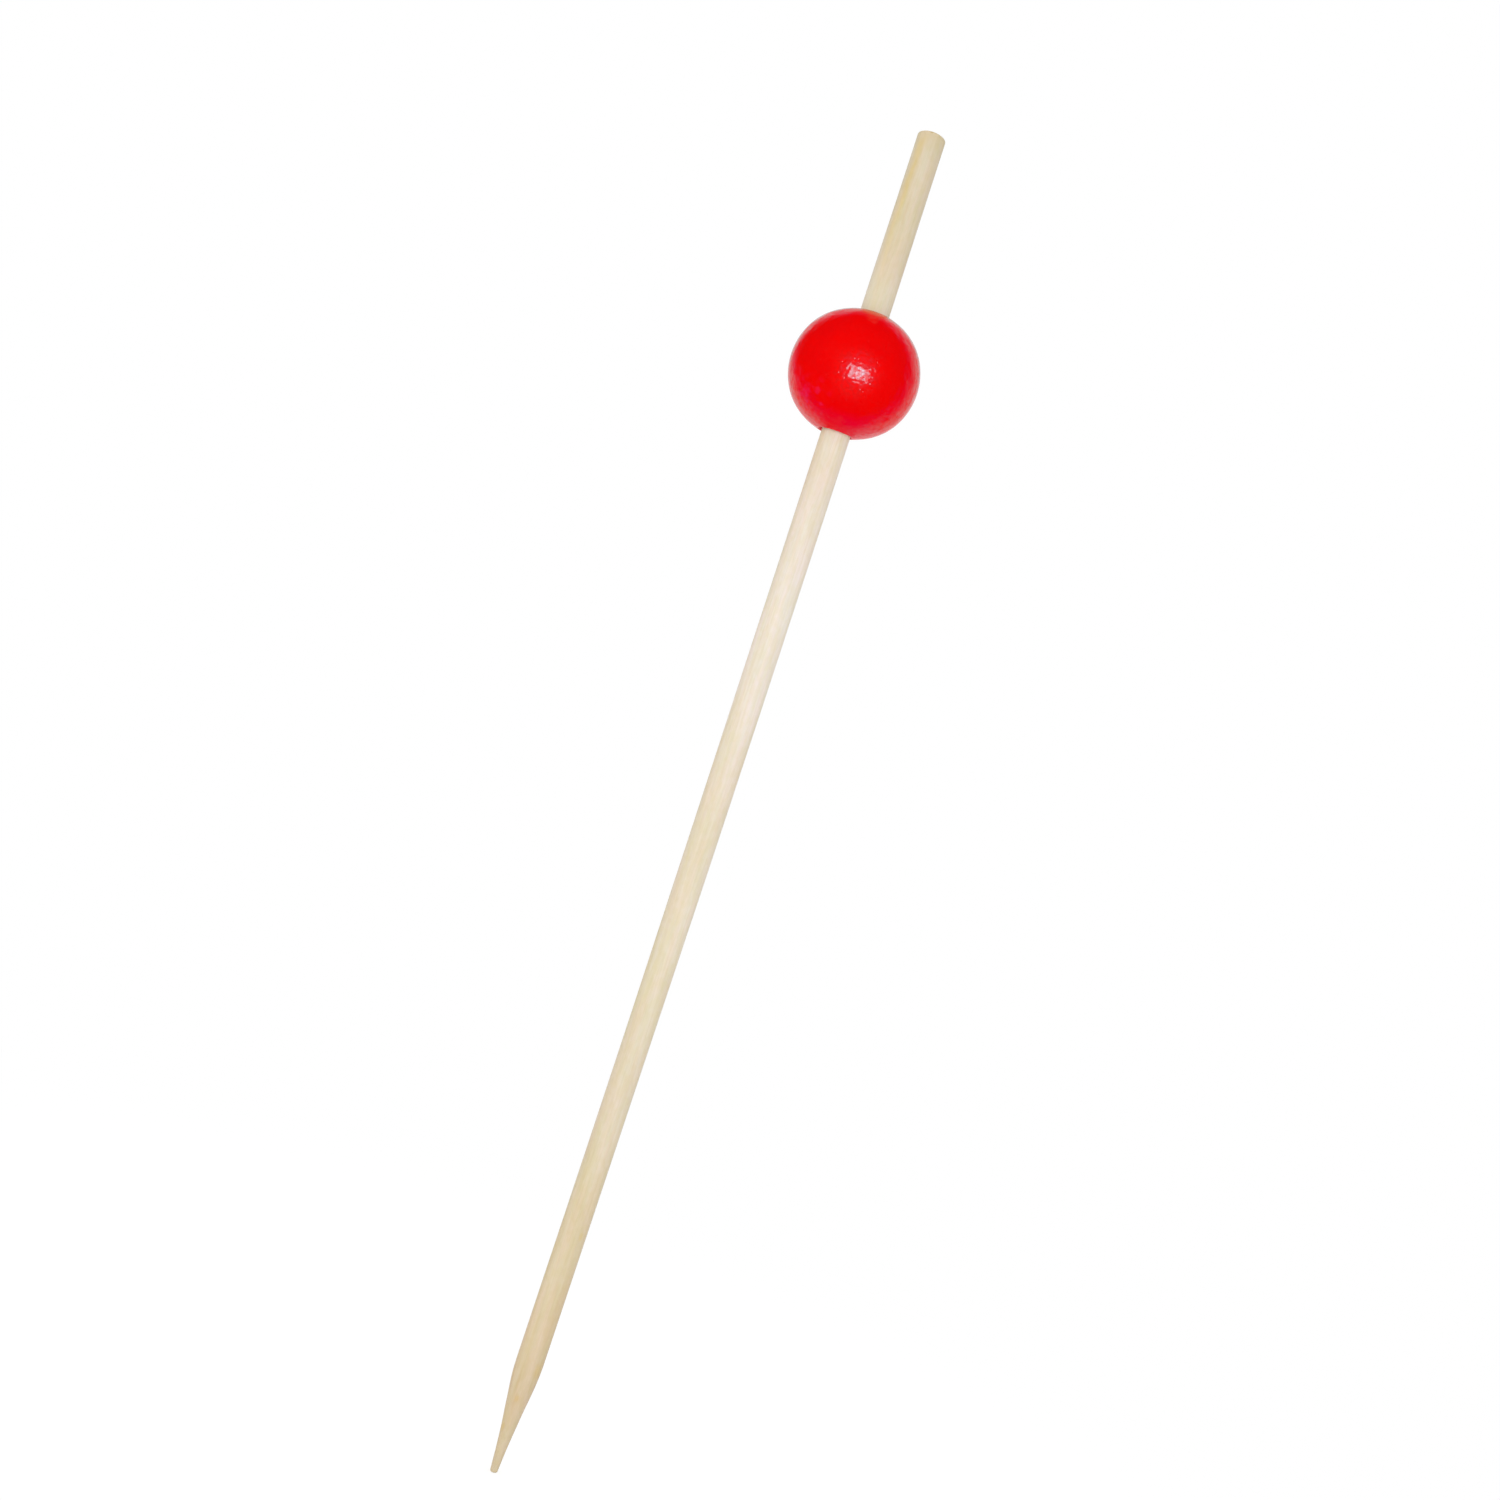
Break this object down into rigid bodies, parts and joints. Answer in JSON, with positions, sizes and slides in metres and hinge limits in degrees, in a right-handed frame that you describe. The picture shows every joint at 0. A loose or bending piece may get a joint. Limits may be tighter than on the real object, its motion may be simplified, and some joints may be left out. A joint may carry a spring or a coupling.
{
  "type": "wood ball pick",
  "caption": "Round bamboo skewer with a sharpened point, glued through a drilled lacquered wooden ball near its blunt end, for holding party food together.",
  "frame": {"origin": "on the skewer's axis at the tip of its point, where the pick goes into the food", "axes": "+Z along the skewer from the point to the cut end; +X and +Y square to it, with nothing to tell them apart"},
  "size_m": [0.0114, 0.0114, 0.12],
  "materials": {
    "bamboo_skewer": "plain sanded bamboo, unfinished",
    "wooden_ball": "turned wood under glossy red lacquer",
    "glue_sleeve": "dried wood glue"
  },
  "bodies": {
    "root": {"bamboo_skewer": "bamboo_skewer", "wooden_ball": "wooden_ball", "glue_sleeve": "glue_sleeve"}
  },
  "joints": []
}
